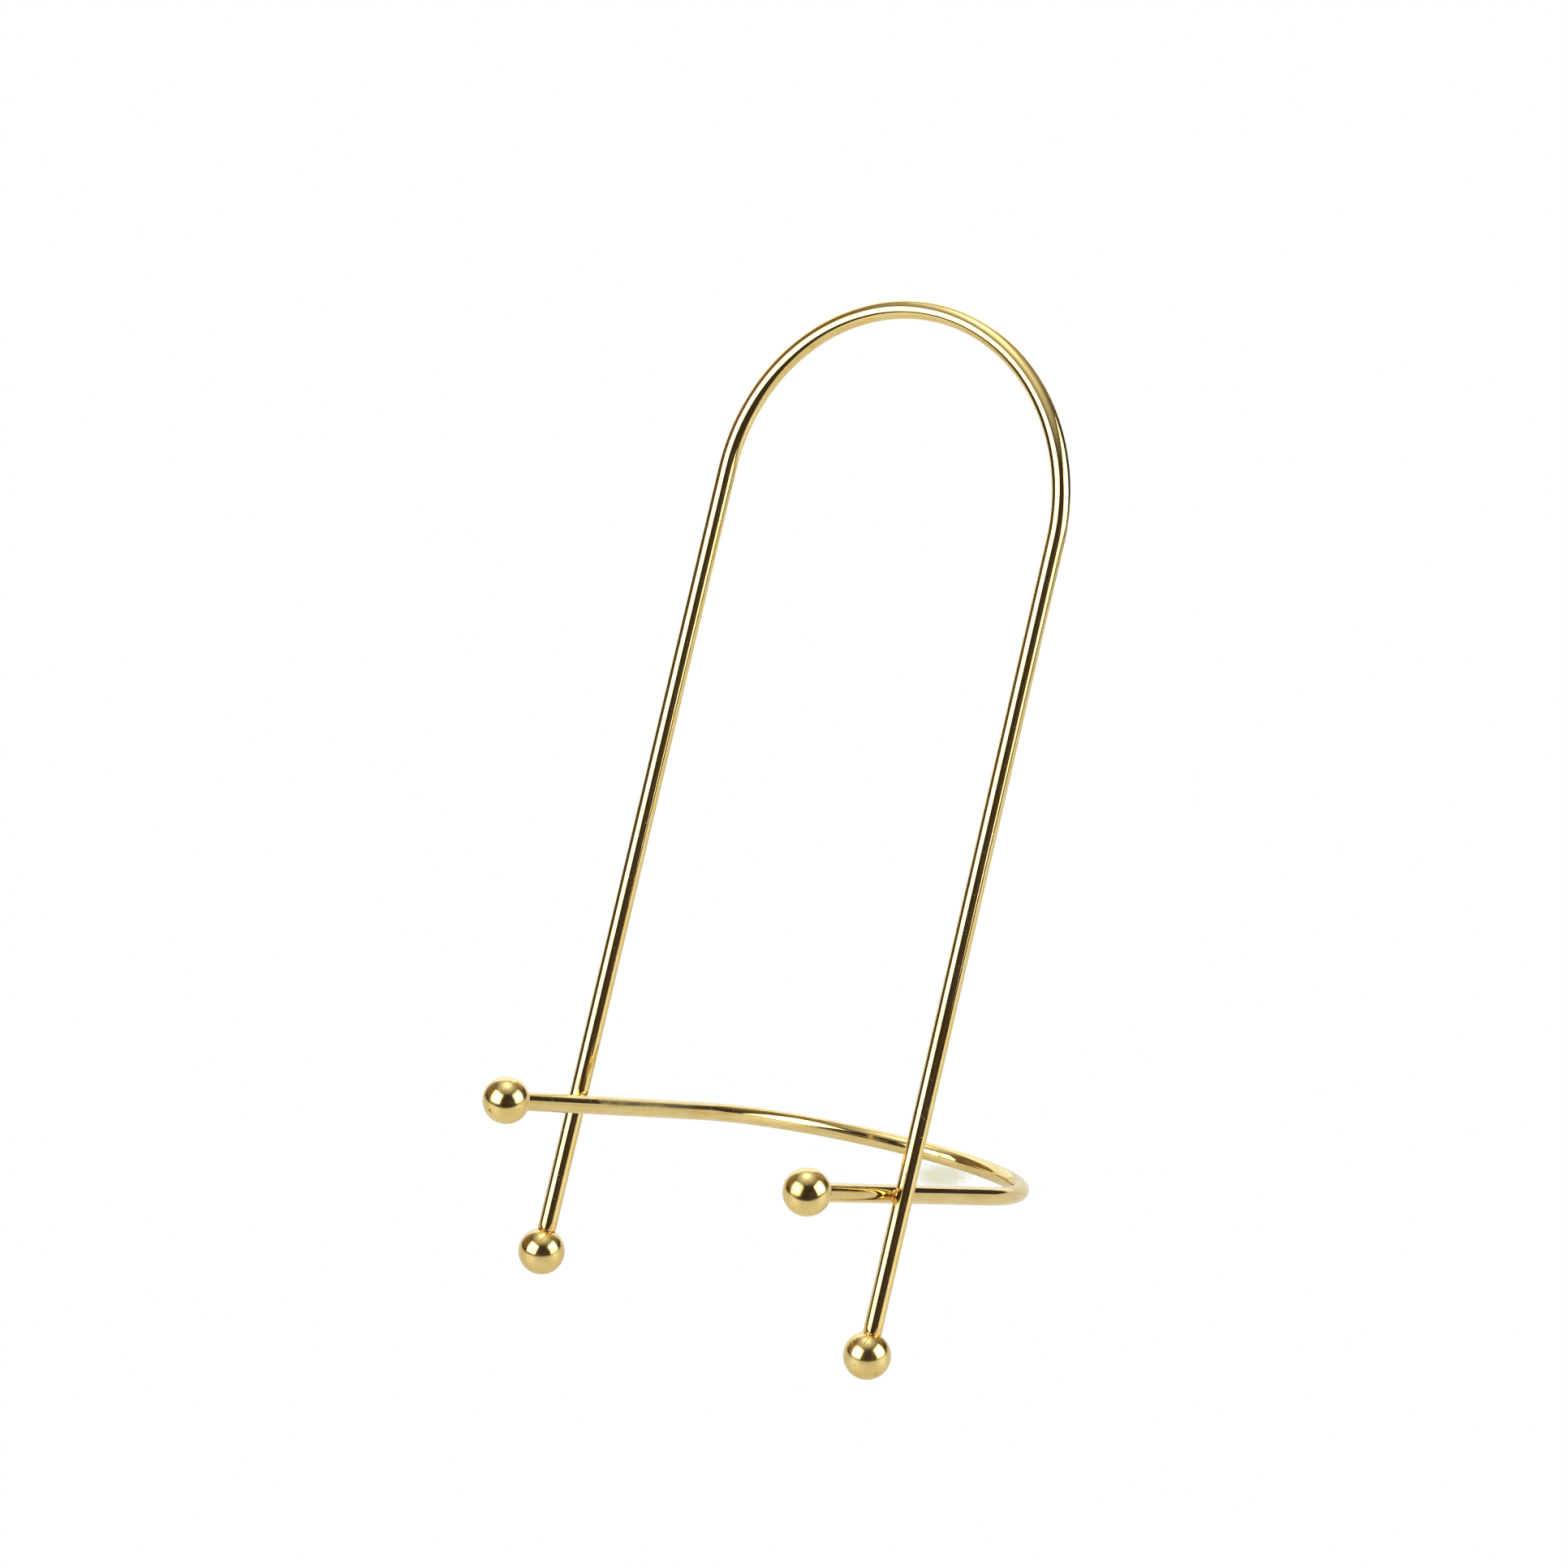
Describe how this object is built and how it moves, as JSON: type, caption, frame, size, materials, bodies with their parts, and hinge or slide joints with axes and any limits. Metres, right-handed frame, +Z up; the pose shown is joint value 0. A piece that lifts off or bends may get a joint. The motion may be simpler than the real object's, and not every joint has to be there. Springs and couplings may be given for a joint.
{
  "type": "display easel",
  "caption": "Tabletop display easel of bent round rod: a leaning arched upright on ball feet, and a looped base whose ball-ended prongs are the ledge.",
  "frame": {"origin": "on the table, under the centre of the easel's box", "axes": "+Z up, +X across the easel to the right foot as seen from the front, -Y towards the front, where the ledge is"},
  "size_m": [0.1204, 0.1498, 0.2588],
  "materials": {
    "rod_plate": "mirror-polished gold-coloured plate on drawn rod, with fine pits and rubs",
    "ball_plate": "mirror-polished gold-coloured plate",
    "weld_metal": "plated weld bead, smooth and slightly dull, with a copper tint",
    "braze_metal": "copper-coloured braze, uneven and half dull"
  },
  "bodies": {
    "root": {"upright_rod": "rod_plate", "base_rod": "rod_plate", "foot_ball_left": "ball_plate", "foot_ball_right": "ball_plate", "ledge_ball_left": "ball_plate", "ledge_ball_right": "ball_plate", "crossing_weld_left": "weld_metal", "crossing_weld_right": "weld_metal", "foot_braze_left": "braze_metal", "foot_braze_right": "braze_metal", "ledge_braze_left": "braze_metal", "ledge_braze_right": "braze_metal"}
  },
  "joints": []
}
